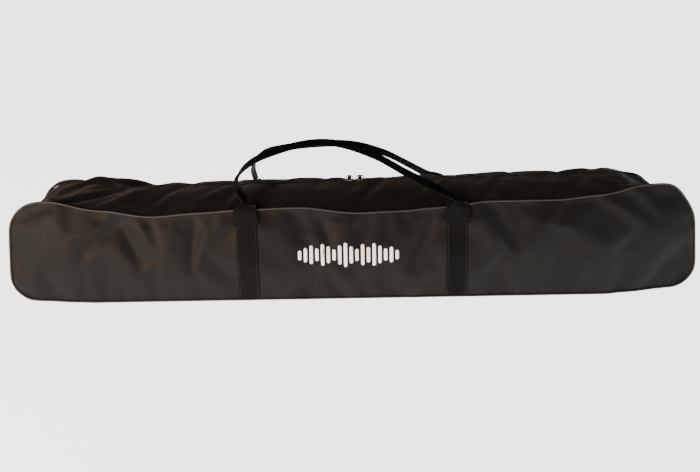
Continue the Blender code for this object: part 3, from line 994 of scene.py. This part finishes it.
def webbing():
    """Woven polypropylene: fat glossy filament ribs across the web, in rows along it, and bound edges."""
    material, shader = new_material("polypropylene_web", "#080807", 0.65, Specular_IOR_Level=0.07)
    flat = add_node(material, "ShaderNodeUVMap", {"uv_map": "along_web"}).outputs["UV"]
    ribs = bands(material, flat, "Y", 0.0024)
    rows = bands(material, flat, "X", 0.0050)
    weave = add_node(material, "ShaderNodeMath", {"operation": "ADD"})
    material.node_tree.links.new(ribs, weave.inputs[0])
    material.node_tree.links.new(rows, weave.inputs[1])
    material.node_tree.links.new(mixed(material, ribs, "#050505", "#0b0a09"), shader.inputs["Base Color"])
    raised = add_node(
        material,
        "ShaderNodeBump",
        inputs={"Strength": 0.7, "Distance": 0.0005},
        links={"Height": weave.outputs["Value"]},
    )
    material.node_tree.links.new(raised.outputs["Normal"], shader.inputs["Normal"])
    return material


def surface_of(name):
    mesh = bpy.data.objects[name].data
    return BVHTree.FromPolygons([v.co for v in mesh.vertices], [tuple(f.vertices) for f in mesh.polygons])


def web_outline():
    """A flat web's section, with rounded edges a little thicker than its middle."""
    across = [-0.96, -0.86, -0.5, 0.0, 0.5, 0.86, 0.96]
    top = [(u, SELVAGE if abs(u) > 0.8 else 1.0) for u in across]
    return top + [(1.0, 0.4), (1.0, -0.4)] + [(u, -v) for u, v in reversed(top)] + [(-1.0, -0.4), (-1.0, 0.4)]


def web_sections(route):
    """A handle's sections: gathered and most of a quarter turn round at its feet, then full width and turned
    all the way, so that it lies flat in the hand."""
    gone = [0.0]
    for a, b in zip(route, route[1:]):
        gone.append(gone[-1] + (b - a).length)
    sections = []
    for i in range(len(route)):
        way = (route[min(i + 1, len(route) - 1)] - route[max(i - 1, 0)]).normalized()
        from_foot = min(gone[i], gone[-1] - gone[i])
        t = min(from_foot / TURNED_FROM, 1.0)
        turn = (FOOT_TURN + (1 - FOOT_TURN) * t * t * (3 - 2 * t)) * math.pi / 2
        flat = Vector((1, 0, 0))
        flat = (flat - way * flat.dot(way)).normalized()
        across = Vector((0, math.cos(HAND_TILT), math.sin(HAND_TILT)))
        across = (across - way * across.dot(way)).normalized()
        wide = (flat * math.cos(turn) + across * math.sin(turn)).normalized()
        t = min(from_foot / GATHERED_FROM, 1.0)
        gather = FOOT_GATHER + (1 - FOOT_GATHER) * t * t * (3 - 2 * t)
        sections.append((wide * gather * WEB_WIDTH / 2, way.cross(wide) * WEB_THICK / 2 / gather))
    return sections


def strap_middle(tree, sign, x):
    """Rows of points up a strap's middle layer: along the panel, then out over the piping to the foot."""
    rows = []
    for z in np.arange(STRAP_LOW, STRAP_LEAVES, STRAP_STEP):
        row = []
        for k in range(STRAP_COLUMNS):
            at_x = x + WEB_WIDTH * (k / (STRAP_COLUMNS - 1) - 0.5)
            hit, _, _, _ = tree.ray_cast(Vector((at_x, sign * 0.3, z)), Vector((0, -sign, 0)))
            row.append((at_x, hit.y + sign * (STRAP_LIFT + WEB_THICK / 2), z))
        rows.append(row)
    leaving = rows[-1]
    for i in range(1, 6):
        t = i / 5
        z = leaving[0][2] + (FOOT_Z - leaving[0][2]) * t
        eased = min(1.0, t * 1.6)
        row = []
        for at_x, y, _ in leaving:
            row.append((at_x, y + (sign * FOOT_Y - y) * eased, z))
        rows.append(row)
    rows = np.array(rows)
    for _ in range(2):
        rows[1:-1] = (rows[:-2] + 2 * rows[1:-1] + rows[2:]) / 4
    return rows


def sheet_of_rows(name, rows, thick):
    """A piece of web from its middle layer's rows, with its thickness to both sides and a map in metres."""
    bm = bmesh.new()
    along = bm.loops.layers.uv.new("along_web")
    grid = [[bm.verts.new(point) for point in row] for row in rows]
    gone = [0.0]
    for a, b in zip(rows, rows[1:]):
        gone.append(gone[-1] + float(np.linalg.norm(b[len(b) // 2] - a[len(a) // 2])))
    for i, (low, high) in enumerate(zip(grid, grid[1:])):
        for k in range(len(low) - 1):
            face = bm.faces.new((low[k], low[k + 1], high[k + 1], high[k]))
            face.smooth = True
            u0, u1 = (WEB_WIDTH * (j / (len(low) - 1) - 0.5) for j in (k, k + 1))
            places = ((u0, gone[i]), (u1, gone[i]), (u1, gone[i + 1]), (u0, gone[i + 1]))
            for loop, uv in zip(face.loops, places):
                loop[along].uv = uv
    mesh = bpy.data.meshes.new(name)
    bm.to_mesh(mesh)
    bm.free()
    made = bpy.data.objects.new(name, mesh)
    bpy.context.scene.collection.objects.link(made)
    wall = made.modifiers.new("wall", "SOLIDIFY")
    wall.thickness = thick
    wall.offset = 0.0
    edges = made.modifiers.new("edges", "BEVEL")
    edges.width = 0.0005
    edges.segments = 2
    edges.limit_method = "ANGLE"
    edges.angle_limit = math.radians(50)
    apply_modifiers(made)
    deselect()
    return made


WEBBING = webbing()
OVER_SEAM = (SEAM_HEIGHT - 0.006, SEAM_HEIGHT + 0.010)
strap_rows = {}
for half, sign in (("front", -1), ("rear", 1)):
    panel_surface = surface_of(f"{half}_panel_cloth")
    for end, x in (("left", -STRAP_X), ("right", STRAP_X)):
        rows = strap_middle(panel_surface, sign, x)
        strap_rows[half, end] = rows
        piece = sheet_of_rows(f"{half}_{end}_web_strap", rows, WEB_THICK)
        dress(piece, WEBBING, "webbing", f"{half}_{end}_strap")
        start, stop = ((x, sign * SIDE, z) for z in OVER_SEAM)
        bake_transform(piece)

FOOT_FOLD = (  # the folded end's path, as (out from the strap, height above the seam)
    (0.0010, -0.028), (0.0028, -0.022), (0.0046, -0.012), (0.0046, -0.002), (0.0028, 0.005), (0.0000, 0.010),
)
FOOT_WIDTH, GATHERED_WIDTH, FOLD_TURN = 0.048, 0.026, 0.35
for (half, end), rows in strap_rows.items():
    sign = -1 if half == "front" else 1
    side = -1 if end == "left" else 1
    x = side * STRAP_X
    lean = Vector((math.cos(math.radians(9)), 0, side * sign * math.sin(math.radians(9))))
    path = []
    for out, above in FOOT_FOLD:
        z = SEAM_HEIGHT + above
        heights = rows[:, STRAP_COLUMNS // 2, 2]
        y = float(np.interp(z, heights, rows[:, STRAP_COLUMNS // 2, 1]))
        path.append(Vector((x + side * 0.12 * (above + 0.026), y + sign * (out + WEB_THICK / 2), z)))
    path = smooth_route(path, 5)
    sections = []
    for i in range(len(path)):
        way = (path[min(i + 1, len(path) - 1)] - path[max(i - 1, 0)]).normalized()
        gathered = (i / (len(path) - 1)) ** 2
        turn = FOLD_TURN * math.pi / 2 * gathered
        across = lean * math.cos(turn) + Vector((0, 1, 0)) * math.sin(turn)
        wide = (across - way * across.dot(way)).normalized()
        half_width = (FOOT_WIDTH + (GATHERED_WIDTH - FOOT_WIDTH) * gathered) / 2
        sections.append((wide * half_width, way.cross(wide) * WEB_THICK / 2))
    piece = swept(f"{half}_{end}_handle_foot", path, sections, web_outline(), closed=False)
    dress(piece, WEBBING, "webbing")
    start, stop = ((x, sign * SIDE, z) for z in OVER_SEAM)
    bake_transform(piece)

for half in ("front", "rear"):
    route = smooth_route([Vector(point) for point in HANDLE_ROUTES[half]], 9)
    piece = swept(f"{half}_web_handle", route, web_sections(route), web_outline(), closed=False)
    dress(piece, WEBBING, "webbing", f"{half}_handle")
    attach(piece, f"{half}_loop")


# ---------------------------------------------------------------------------------------------------------
# The tabs over the ends of the zip: a short fold of web, sewn down across the top of each end panel so that
# the sliders cannot run off.

TAB_HALF = 0.0125
TAB_THICK = 0.0016
TAB_TO = 0.026  # outwards from the end of the zip


def end_top(tree, x, y):
    hit, _, _, _ = tree.ray_cast(Vector((x, y, 0.5)), Vector((0, 0, -1)))
    return hit


for end, side in (("left", -1), ("right", 1)):
    tree = surface_of(f"{end}_end_panel_cloth")
    rows = []
    for i in range(8):
        x = side * (FLAP_END + 0.0015 + (TAB_TO - 0.0015) * i / 7)
        row = []
        for k in range(7):
            hit = end_top(tree, x, TAB_HALF * (k / 3 - 1))
            row.append((hit.x, hit.y, hit.z + TAB_THICK / 2 + 0.0002))
        rows.append(row if side > 0 else row[::-1])
    piece = sheet_of_rows(f"{end}_zip_end_tab", np.array(rows), TAB_THICK)
    dress(piece, WEBBING, "webbing", f"{end}_zip_tab")
    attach(piece, "shell")


# ---------------------------------------------------------------------------------------------------------
# The two zip sliders: die-cast zinc, plated dark and bright. Each has a top and a bottom plate joined by a
# post at its nose, a tall crown, and a flat pull that swings on the crown's bar.

PLATE_SIZE = (0.0175, 0.0112, 0.0016)
UNDER_PLATE = (0.0165, 0.0100, 0.0012)
COIL_ROOM = 0.0026  # between the two plates
CROWN_LONG, CROWN_HIGH, CROWN_WIDE, CROWN_THICK = 0.0142, 0.0082, 0.0036, 0.0017
EYE_RADIUS, EYE_WIRE = 0.0023, 0.0006
PULL_LONG, PULL_WIDE, PULL_THICK = 0.031, 0.0075, 0.0015


def plated_zinc():
    """Black nickel on a die casting: dark and bright at once, softened by tumbling and a little scuffed."""
    material, shader = new_material("black_nickel_zinc", "#807e7a", 0.22, metallic=1.0)
    place = add_node(material, "ShaderNodeTexCoord").outputs["Object"]
    scuffs = add_node(
        material, "ShaderNodeTexNoise", inputs={"Scale": 420.0, "Detail": 4.0}, links={"Vector": place}
    ).outputs["Fac"]
    material.node_tree.links.new(linked(material, scuffs, 0.14, 0.42), shader.inputs["Roughness"])
    material.node_tree.links.new(mixed(material, scuffs, "#5b5956", "#93918c"), shader.inputs["Base Color"])
    return material


def joined(name, *parts):
    deselect()
    for part in parts:
        part.select_set(True)
    bpy.context.view_layer.objects.active = parts[0]
    bpy.ops.object.join()
    parts[0].name = name
    deselect()
    return parts[0]


def rect_outline():
    """A bar's section with its corners taken off."""
    return [(-1, 0.6), (-0.7, 1), (0.7, 1), (1, 0.6), (1, -0.6), (0.7, -1), (-0.7, -1), (-1, -0.6)]


def arched_bar(name, points, wide, thick):
    sections = []
    for i in range(len(points)):
        way = (points[min(i + 1, len(points) - 1)] - points[max(i - 1, 0)]).normalized()
        side_way = Vector((0, 1, 0))
        sections.append((side_way * wide / 2, way.cross(side_way).normalized() * thick / 2))
    return swept(name, points, sections, rect_outline(), closed=False)


ZINC = plated_zinc()
for word in ("left", "right"):
    slider_low, slider_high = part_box(f"{word}_slider")
    x = (slider_low.x + slider_high.x) / 2
    facing = -1 if word == "left" else 1
    plate_low = slider_low.z + 0.0003
    plate_top = plate_low + PLATE_SIZE[2]
    plate = bevelled_block("plate", PLATE_SIZE, (x, 0, plate_low + PLATE_SIZE[2] / 2), 0.0006, 2)
    under_z = plate_low - COIL_ROOM - UNDER_PLATE[2] / 2
    under = bevelled_block("under", UNDER_PLATE, (x, 0, under_z), 0.0004)
    for part in (plate, under):
        for vertex in part.data.vertices:
            tail = min(max(-facing * (vertex.co.x - x) / (PLATE_SIZE[0] / 2), 0.0), 1.0)
            vertex.co.y *= 1 - 0.28 * tail
    post_x = x + facing * 0.0062
    post = bevelled_block(
        "post", (0.0030, 0.0024, COIL_ROOM + 0.001), (post_x, 0, plate_low - COIL_ROOM / 2), 0.0004
    )
    parts = [plate, under, post]
    for flank in (-1, 1):
        rail_place = (x + facing * 0.001, flank * 0.0050, plate_low - 0.0003)
        parts.append(bevelled_block("rail", (0.0120, 0.0009, 0.0012), rail_place, 0.0003))
    arch = []
    for i in range(15):
        angle = math.pi * i / 14
        reach = math.copysign(abs(math.cos(angle)) ** 0.75, math.cos(angle))
        over = math.sin(angle) ** 0.62
        arch_height = plate_top - 0.0004 + over * (CROWN_HIGH - CROWN_THICK / 2)
        arch.append(Vector((x - reach * CROWN_LONG / 2, 0, arch_height)))
    parts.append(arched_bar("crown", arch, CROWN_WIDE, CROWN_THICK))
    piece = joined(f"{word}_slider_body", *parts)
    dress(piece, ZINC, "die_cast_zinc", f"{word}_slider")
    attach(piece, f"{word}_zip_slider")

    pull_low, pull_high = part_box(f"{word}_pull")
    bar = Vector((x, 0.0, plate_top - 0.0004 + CROWN_HIGH - CROWN_THICK))
    tip = Vector((x, pull_high.y, pull_low.z + 0.001))
    reach = (tip - bar).normalized()
    deselect()
    bpy.ops.mesh.primitive_torus_add(
        location=bar,
        rotation=(0, math.pi / 2, 0),
        major_radius=EYE_RADIUS,
        minor_radius=EYE_WIRE,
        major_segments=20,
        minor_segments=8,
    )
    eye = bpy.context.object
    bpy.ops.object.transform_apply(location=True, rotation=True, scale=True)
    for vertex in eye.data.vertices:
        vertex.co.x = x + (vertex.co.x - x) * 1.7
    tab_middle = EYE_RADIUS + PULL_LONG / 2
    tab = bevelled_block("tab", (PULL_WIDE, PULL_LONG, PULL_THICK), (0, tab_middle, 0), 0.0005, 2)
    deselect()
    bpy.ops.mesh.primitive_cylinder_add(
        vertices=24, radius=0.0019, depth=0.01, location=(0, PULL_LONG - 0.001, 0)
    )
    cutter = bpy.context.object
    hole = tab.modifiers.new("hole", "BOOLEAN")
    hole.operation = "DIFFERENCE"
    hole.object = cutter
    apply_modifiers(tab)
    bpy.data.objects.remove(cutter)
    for vertex in tab.data.vertices:
        waist = math.sin(math.pi * min(max((vertex.co.y - EYE_RADIUS) / PULL_LONG, 0.0), 1.0))
        vertex.co.x *= 1 - 0.22 * waist * (abs(vertex.co.x) > 0.0025)
    turned = reach.to_track_quat("Y", "Z").to_matrix().to_4x4()
    tab.data.transform(Matrix.Translation(bar) @ turned)
    piece = joined(f"{word}_pull_tab", eye, tab)
    for face in piece.data.polygons:
        face.use_smooth = True
    deselect()
    piece.select_set(True)
    bpy.context.view_layer.objects.active = piece
    bpy.ops.object.shade_smooth_by_angle(angle=math.radians(35))
    dress(piece, ZINC, "die_cast_zinc", f"{word}_pull")
    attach(piece, f"{word}_zip_pull")


# ---------------------------------------------------------------------------------------------------------
# The stitching: bonded polyester thread, in rows of lock stitches along both edges of each strap and along
# the edge of the top's cloth on both sides of the zip.

STITCH_LONG = 0.0032
STITCH_PITCH = 0.0044
THREAD_RADIUS = 0.00042


def thread():
    """Waxed black thread: small bright lights along each stitch against the duller cloth."""
    material, shader = new_material("bonded_polyester_thread", "#1c1a18", 0.4, Specular_IOR_Level=0.3)
    place = add_node(material, "ShaderNodeTexCoord").outputs["Object"]
    ply = add_node(
        material, "ShaderNodeTexNoise", inputs={"Scale": 800.0}, links={"Vector": place}
    ).outputs["Fac"]
    material.node_tree.links.new(mixed(material, ply, "#151412", "#262320"), shader.inputs["Base Color"])
    return material


def stitch_places(points, ups):
    """Matrices for stitches at an even pitch along a row of points, each laid along the row and facing up."""
    points = np.array(points)
    gone = np.concatenate([[0.0], np.cumsum(np.linalg.norm(np.diff(points, axis=0), axis=1))])
    places = []
    for at in np.arange(STITCH_PITCH / 2, gone[-1] - STITCH_PITCH / 2, STITCH_PITCH):
        before, middle, after = (
            Vector([float(np.interp(at + d, gone, points[:, axis])) for axis in range(3)])
            for d in (-STITCH_PITCH / 2, 0.0, STITCH_PITCH / 2)
        )
        up = Vector(ups[int(np.searchsorted(gone, at)) - 1])
        along = (after - before).normalized()
        up = (up - along * up.dot(along)).normalized()
        turned = Matrix((along, up.cross(along), up)).transposed().to_4x4()
        places.append(Matrix.Translation(middle) @ turned)
    return places


def stitched(name, places):
    """Stitches at the places: each is a short six-sided thread whose ends turn down into the cloth."""
    deselect()
    bpy.ops.mesh.primitive_cylinder_add(
        vertices=6, radius=THREAD_RADIUS, depth=STITCH_LONG, rotation=(0, math.pi / 2, 0)
    )
    pattern = bpy.context.object
    bpy.ops.object.transform_apply(location=True, rotation=True, scale=True)
    bpy.ops.object.mode_set(mode="EDIT")
    for share in (-0.3, 0.3):
        bpy.ops.mesh.select_all(action="SELECT")
        bpy.ops.mesh.bisect(plane_co=(share * STITCH_LONG, 0, 0), plane_no=(1, 0, 0))
    bpy.ops.object.mode_set(mode="OBJECT")
    for vertex in pattern.data.vertices:
        if abs(vertex.co.x) > 0.4 * STITCH_LONG:
            vertex.co.y *= 0.55
            vertex.co.z = vertex.co.z * 0.55 - THREAD_RADIUS
    piece = copies(name, pattern, places)
    dress(piece, THREAD, "webbing")
    return piece


THREAD = thread()
for (half, end), rows in strap_rows.items():
    sign = -1 if half == "front" else 1
    x = STRAP_X * (-1 if end == "left" else 1)
    lifted = rows + np.array([0.0, sign * (WEB_THICK / 2 + 0.0001), 0.0])
    places = []
    for column, inner in ((0, 1), (-1, -2)):
        row = (lifted[:, column] + lifted[:, inner]) / 2
        low = row[row[:, 2] < SEAM_HEIGHT - 0.026]
        places += stitch_places(low, [(0, sign, 0)] * len(low))
    piece = stitched(f"{half}_{end}_strap_stitches", places)
    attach(piece, "shell")

LIP_STITCH = 0.0035  # from the edge of the top's cloth beside the zip
for (half, end), low_x in zip(FLAP_HALVES, (-FLAP_END, 0.0, -FLAP_END, 0.0)):
    sign = -1 if half == "front" else 1
    tree = surface_of(f"{half}_top_cloth_{end}")
    points = []
    ups = []
    for x in np.arange(low_x + 0.012, low_x + FLAP_END - 0.006, 0.006):
        hit, normal, _, _ = tree.ray_cast(Vector((x, sign * (LIP + LIP_STITCH), 0.5)), Vector((0, 0, -1)))
        if hit is not None:
            points.append(hit + normal * 0.0001)
            ups.append(normal)
    piece = stitched(f"{half}_zip_stitches_{end}", stitch_places(points, ups))
    ride_as_flap(piece)


# ---------------------------------------------------------------------------------------------------------
# The printed panel mark: a plain row of level bars of different heights, screen printed in off-white ink in
# the middle of the front panel.

BARS_FROM, BARS_TO = -0.102, 0.087
BARS_MIDDLE = 0.088
BAR_WIDE = 0.0062
BAR_HEIGHTS = (18, 26, 34, 24, 40, 30, 20, 36, 46, 32, 22, 38, 28, 42, 34, 24, 30, 18)  # millimetres
INK_THICK = 0.00025


def screen_ink():
    """Plastisol ink: off-white, matt and slightly raised, thinner where the weave lets it sink."""
    material, shader = new_material("plastisol_ink", "#f8f6f0", 0.6)
    flat = add_node(material, "ShaderNodeTexCoord").outputs["Object"]
    mottle = add_node(
        material, "ShaderNodeTexNoise", inputs={"Scale": 130.0, "Detail": 5.0}, links={"Vector": flat}
    ).outputs["Fac"]
    material.node_tree.links.new(mixed(material, mottle, "#f4f1ea", "#ffffff"), shader.inputs["Base Color"])
    raised = add_node(
        material, "ShaderNodeBump", inputs={"Strength": 0.4, "Distance": 0.0003}, links={"Height": mottle}
    )
    material.node_tree.links.new(raised.outputs["Normal"], shader.inputs["Normal"])
    return material


front_surface = surface_of("front_panel_cloth")
bm = bmesh.new()
for i, height in enumerate(BAR_HEIGHTS):
    x = BARS_FROM + (BARS_TO - BARS_FROM) * (i + 0.5) / len(BAR_HEIGHTS)
    tall = height / 1000
    radius = BAR_WIDE / 2
    ends_at = [radius * (1 - math.cos(math.pi / 2 * j / 4)) for j in range(5)]
    middle_steps = max(2, round((tall - BAR_WIDE) / 0.004))
    straight = [radius + (tall - BAR_WIDE) * j / middle_steps for j in range(1, middle_steps)]
    rows = []
    for up in ends_at + straight + [tall - e for e in reversed(ends_at)]:
        from_end = min(up, tall - up)
        half_wide = radius
        if from_end < radius:
            half_wide = math.sqrt(max(radius**2 - (radius - from_end) ** 2, 1e-9))
        row = []
        for share in (-1, 0, 1):
            start = Vector((x + share * max(half_wide, 0.0003), -0.3, BARS_MIDDLE - tall / 2 + up))
            hit, normal, _, _ = front_surface.ray_cast(start, Vector((0, 1, 0)))
            row.append(bm.verts.new(hit + normal * INK_THICK))
        rows.append(row)
    for low, high in zip(rows, rows[1:]):
        for k in range(2):
            bm.faces.new((low[k], low[k + 1], high[k + 1], high[k])).smooth = True
mesh = bpy.data.meshes.new("printed_level_bars")
bm.to_mesh(mesh)
bm.free()
piece = bpy.data.objects.new("printed_level_bars", mesh)
bpy.context.scene.collection.objects.link(piece)
wall = piece.modifiers.new("wall", "SOLIDIFY")
wall.thickness = INK_THICK
wall.offset = -1.0
apply_modifiers(piece)
dress(piece, screen_ink(), "woven_polyester")
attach(piece, "shell")


# ---------------------------------------------------------------------------------------------------------
# The pattern that all of the cloth layers were cut from is put away.

bpy.data.objects.remove(skin)

low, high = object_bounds()
